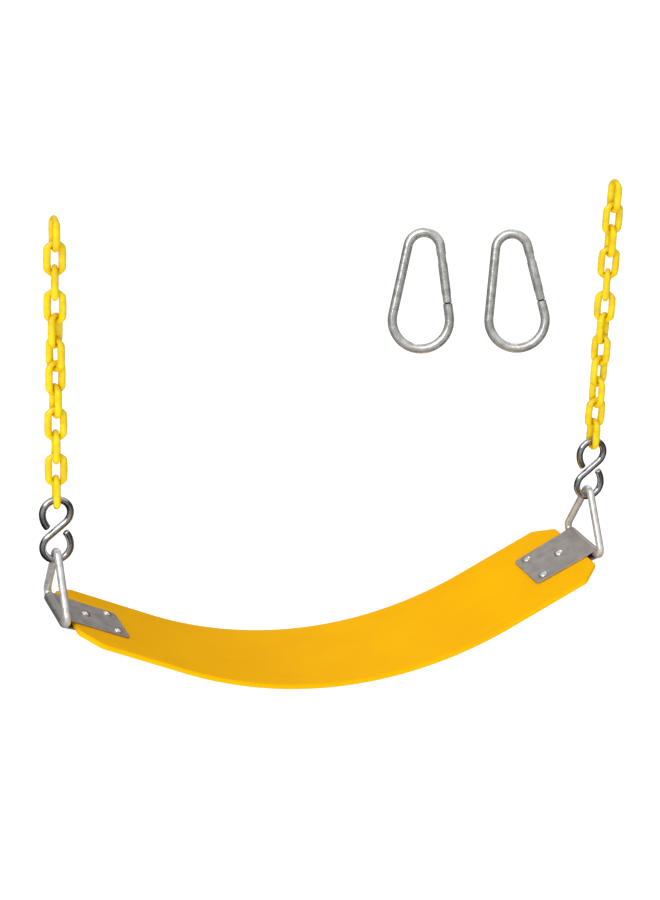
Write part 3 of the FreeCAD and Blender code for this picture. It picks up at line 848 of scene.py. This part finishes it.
def make_camera():
    """Camera in front, to the left and above, with a slight roll."""
    data = bpy.data.cameras.new("Camera")
    data.lens = LENS
    data.sensor_width = SENSOR_WIDTH
    camera = bpy.data.objects.new("Camera", data)
    bpy.context.scene.collection.objects.link(camera)
    forward = Vector((sin(VIEW_TURN) * cos(VIEW_DOWN), cos(VIEW_TURN) * cos(VIEW_DOWN),
                      -sin(VIEW_DOWN)))
    right = Vector((cos(VIEW_TURN), -sin(VIEW_TURN), 0))
    up = right.cross(forward)
    across = right * cos(VIEW_ROLL) + up * sin(VIEW_ROLL)
    upright = up * cos(VIEW_ROLL) - right * sin(VIEW_ROLL)
    turn = Matrix((across, upright, -forward)).transposed()
    camera.matrix_world = Matrix.Translation(CAMERA_PLACE) @ turn.to_4x4()
    bpy.context.scene.camera = camera


def make_floor():
    """Plain pale floor, well under the object."""
    mesh = bpy.data.meshes.new("studio_floor")
    reach, drop = FLOOR_REACH, cad_box[0].z - FLOOR_DROP
    corners = [(-reach, -reach, drop), (reach, -reach, drop), (reach, reach, drop),
               (-reach, reach, drop)]
    mesh.from_pydata(corners, [], [(0, 1, 2, 3)])

    def build(graph, where):
        clouds = graph.noise(where, 3, 2)
        return {"Base Color": graph.blend(clouds, rgb(250, 250, 250), rgb(254, 254, 254)),
                "Roughness": 0.9, "Emission Color": rgb(255, 255, 255),
                "Emission Strength": FLOOR_GLOW}
    mesh.materials.append(new_finish("Studio floor", build))
    floor = bpy.data.objects.new("studio_floor", mesh)
    bpy.context.scene.collection.objects.link(floor)
    floor.visible_glossy = False


def make_wall():
    """Pale wall all round, far off. It is seen, but neither lights nor shades the object."""
    mesh = bpy.data.meshes.new("studio_wall")
    base, top, sides = cad_box[0].z - FLOOR_DROP - WALL_DROP, WALL_TOP, WALL_SIDES
    ring = [(WALL_REACH * cos(2 * pi * i / sides), WALL_REACH * sin(2 * pi * i / sides))
            for i in range(sides)]
    points = [(x, y, z) for z in (base, top) for x, y in ring] + [(0, 0, top)]
    faces = [((i + 1) % sides, i, i + sides, (i + 1) % sides + sides) for i in range(sides)]
    faces += [((i + 1) % sides + sides, i + sides, 2 * sides) for i in range(sides)]
    mesh.from_pydata(points, [], faces)

    def build(graph, where):
        clouds = graph.noise(where, 0.4, 2)
        return {"Base Color": rgb(0, 0, 0), "Roughness": 1.0, "Specular IOR Level": 0.0,
                "Emission Color": graph.blend(clouds, rgb(252, 252, 252), rgb(255, 255, 255)),
                "Emission Strength": 1.0}
    mesh.materials.append(new_finish("Studio wall", build))
    wall = bpy.data.objects.new("studio_wall", mesh)
    bpy.context.scene.collection.objects.link(wall)
    wall.visible_diffuse = wall.visible_glossy = wall.visible_transmission = False
    wall.visible_volume_scatter = wall.visible_shadow = False


def add_light(name, kind, energy, place, aim, **settings):
    """Light at that place, turned to what it aims at."""
    data = bpy.data.lights.new(name, kind)
    data.energy = energy
    for key, value in settings.items():
        setattr(data, key, value)
    light = bpy.data.objects.new(name, data)
    light.location = place
    light.rotation_euler = (Vector(aim) - Vector(place)).to_track_quat("-Z", "Y").to_euler()
    bpy.context.scene.collection.objects.link(light)
    return light


def make_studio():
    """World bright in front and above, dark behind and below, and the four lights."""
    world = bpy.data.worlds.new("Studio")
    bpy.context.scene.world = world
    world.use_nodes = True
    graph = Graph(world.node_tree)
    direction = graph.node("ShaderNodeTexCoord").output("Generated")
    toward = (-sin(VIEW_TURN), -cos(VIEW_TURN), 0.0)
    facing = graph.node("ShaderNodeVectorMath", {"operation": "DOT_PRODUCT"},
                        (direction, toward)).output("Value")
    height = graph.node("ShaderNodeSeparateXYZ", None, (direction,)).output("Z")
    front = graph.ramp(facing, 0.35, 0.85, 0.0, FRONT_GLOW)
    above = graph.ramp(height, 0.22, 0.52)
    below = graph.ramp(height, -0.80, -0.15, BELOW_SHADE, 0.0)
    bright = graph.node("ShaderNodeMath", {"operation": "MAXIMUM"},
                        (front, above * ABOVE_GLOW))
    strength = (DIM_GLOW + bright) * (1 - below)
    glow = graph.node("ShaderNodeBackground", None,
                      {"Color": (1.0, 1.0, 1.0, 1.0), "Strength": strength})
    graph.node("ShaderNodeOutputWorld", None, {"Surface": glow})
    aim = (cad_box[0] + cad_box[1]) / 2
    add_light("Key", "SUN", 1.05, (-2.2, -1.4, 2.6), aim, angle=radians(50))
    fill = add_light("Low front fill", "AREA", 12.0, (-1.0, -2.2, -0.5), aim, size=0.6)
    fill.visible_glossy = False
    add_light("Back softbox", "AREA", 7.0, (1.5, 2.3, 1.7), aim, size=0.7)
    add_light("Front softbox", "AREA", 9.0, (-1.9, -1.6, 1.2), aim, size=0.5)


make_camera()
make_chains()
make_rings()
make_belt()
for end in SIDES:
    make_bracket(end)
    make_rivets(end)
dress_snap_hooks()
make_floor()
make_wall()
make_studio()
bpy.context.scene.view_settings.view_transform = "Standard"
